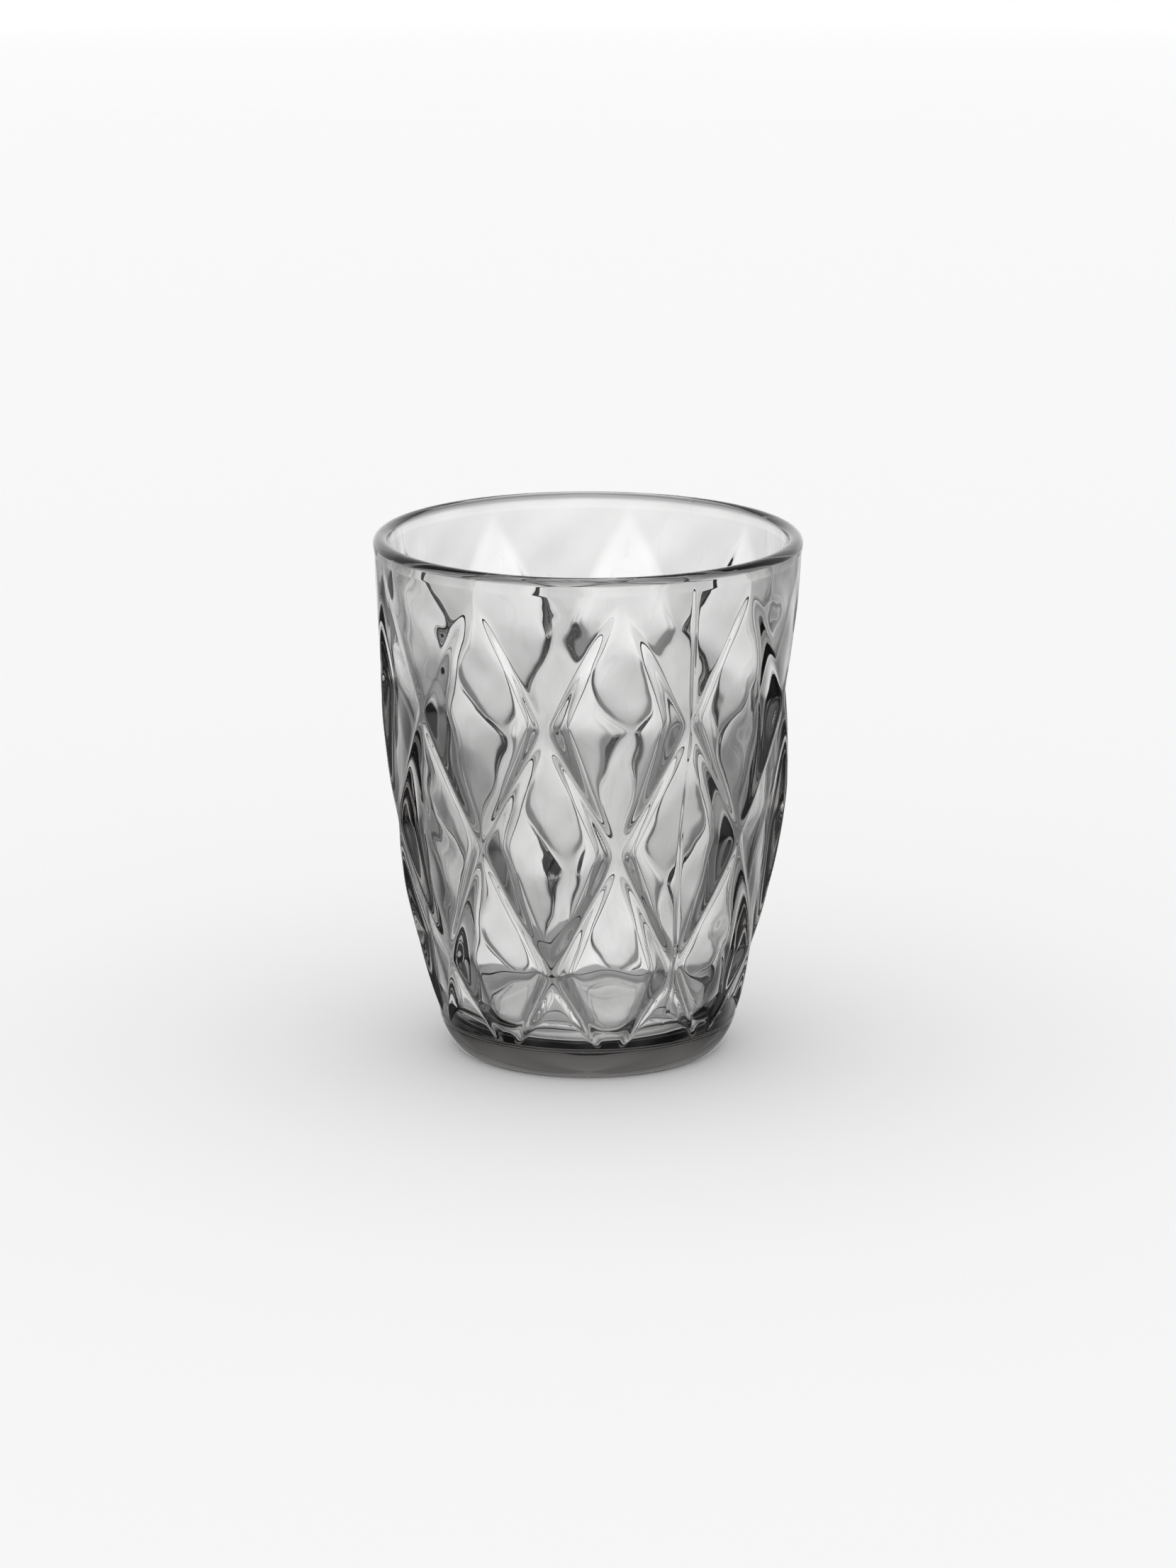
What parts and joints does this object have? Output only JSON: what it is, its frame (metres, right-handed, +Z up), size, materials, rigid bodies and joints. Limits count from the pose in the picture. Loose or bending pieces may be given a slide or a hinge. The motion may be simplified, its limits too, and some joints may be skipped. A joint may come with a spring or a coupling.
{
  "type": "whiskey tumbler",
  "caption": "Pressed smoke-grey glass whiskey tumbler with a bowed body, a lattice of tall sunken diamonds, a plain rim band and a thick base.",
  "frame": {"origin": "centre of the flat that the tumbler stands on", "axes": "+Z up along the tumbler's axis, towards the rim"},
  "size_m": [0.083, 0.083, 0.1018],
  "materials": {
    "glass": "polished"
  },
  "bodies": {
    "root": {"tumbler": "glass"}
  },
  "joints": []
}
